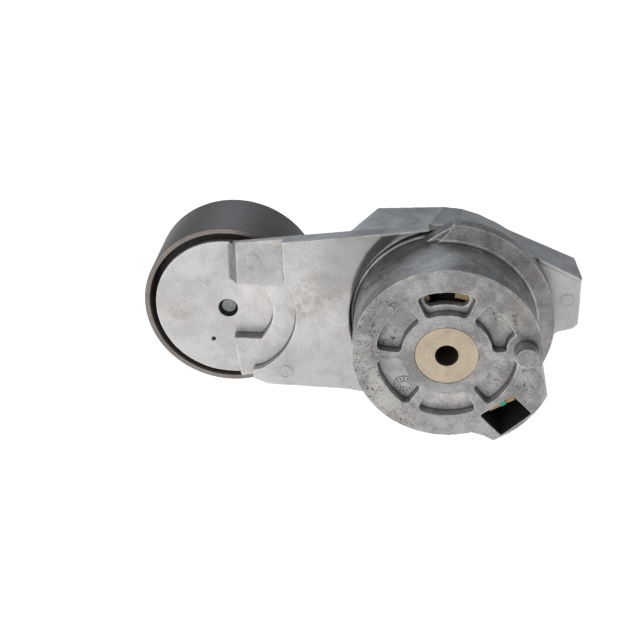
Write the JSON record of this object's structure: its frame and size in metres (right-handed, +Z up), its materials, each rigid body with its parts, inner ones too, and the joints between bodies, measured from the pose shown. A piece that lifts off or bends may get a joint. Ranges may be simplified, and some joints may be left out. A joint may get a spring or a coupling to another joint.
{
  "type": "belt tensioner",
  "caption": "Belt tensioner: round cast spring housing with a locating pin, sprung cast arm and a flat idler pulley on a ball bearing.",
  "frame": {"origin": "centre of the mounting bore at the mounting face", "axes": "+Y along the mounting bore from the mounting face to the pulley side, +Z up, the pulley is towards -X"},
  "size_m": [0.206, 0.0854, 0.0946],
  "materials": {
    "cast_aluminium": "as die cast, fine mottled grain",
    "turned_steel": "sintered steel with a warm oiled face",
    "pulley_steel": "dark phosphated steel, satin",
    "bearing_steel": "ground and polished",
    "tan_polymer": "moulded, matte",
    "seal_rubber": "matte",
    "zinc_steel": "zinc plated",
    "green_polymer": "moulded, matte",
    "spring_steel": "oiled spring steel"
  },
  "bodies": {
    "base": {"base_housing": "cast_aluminium", "pivot_spindle": "turned_steel", "rear_thrust_washer": "tan_polymer", "front_thrust_washer": "tan_polymer", "thrust_plate": "zinc_steel", "retaining_ring": "spring_steel", "spring_support_bush": "tan_polymer", "index_mark": "green_polymer", "dust_seal": "seal_rubber", "torsion_spring": "spring_steel"},
    "arm": {"tensioner_arm": "cast_aluminium", "pivot_bushing": "tan_polymer", "damper_shoe": "tan_polymer", "damper_band": "spring_steel", "dust_cover": "zinc_steel", "pulley_bolt": "zinc_steel", "front_dust_washer": "zinc_steel", "rear_dust_washer": "zinc_steel", "bearing_inner_ring": "bearing_steel"},
    "pulley": {"pulley_shell": "pulley_steel", "bearing_outer_ring": "bearing_steel", "bearing_snap_ring": "spring_steel", "bearing_seal_front": "seal_rubber", "bearing_seal_rear": "seal_rubber"},
    "ball_set": {"bearing_balls": "bearing_steel", "bearing_cage": "tan_polymer"}
  },
  "joints": [
    {"name": "arm_pivot", "type": "hinge", "parent": "base", "child": "arm", "pos_m": [0, 0.04, 0], "axis": [0, -1, 0], "range_deg": [0, 55], "stiffness_Nm_per_rad": 20, "springref_deg": -20.05},
    {"name": "pulley_spin", "type": "hinge", "parent": "arm", "child": "pulley", "pos_m": [-0.10364, 0.06, -0.00317], "axis": [0, 1, 0], "continuous": true},
    {"name": "ball_set_spin", "type": "hinge", "parent": "arm", "child": "ball_set", "pos_m": [-0.10364, 0.06, -0.00317], "axis": [0, 1, 0], "continuous": true}
  ],
  "couplings": [
    {"joint": "ball_set_spin", "follows": "pulley_spin", "ratio": 0.6228}
  ]
}
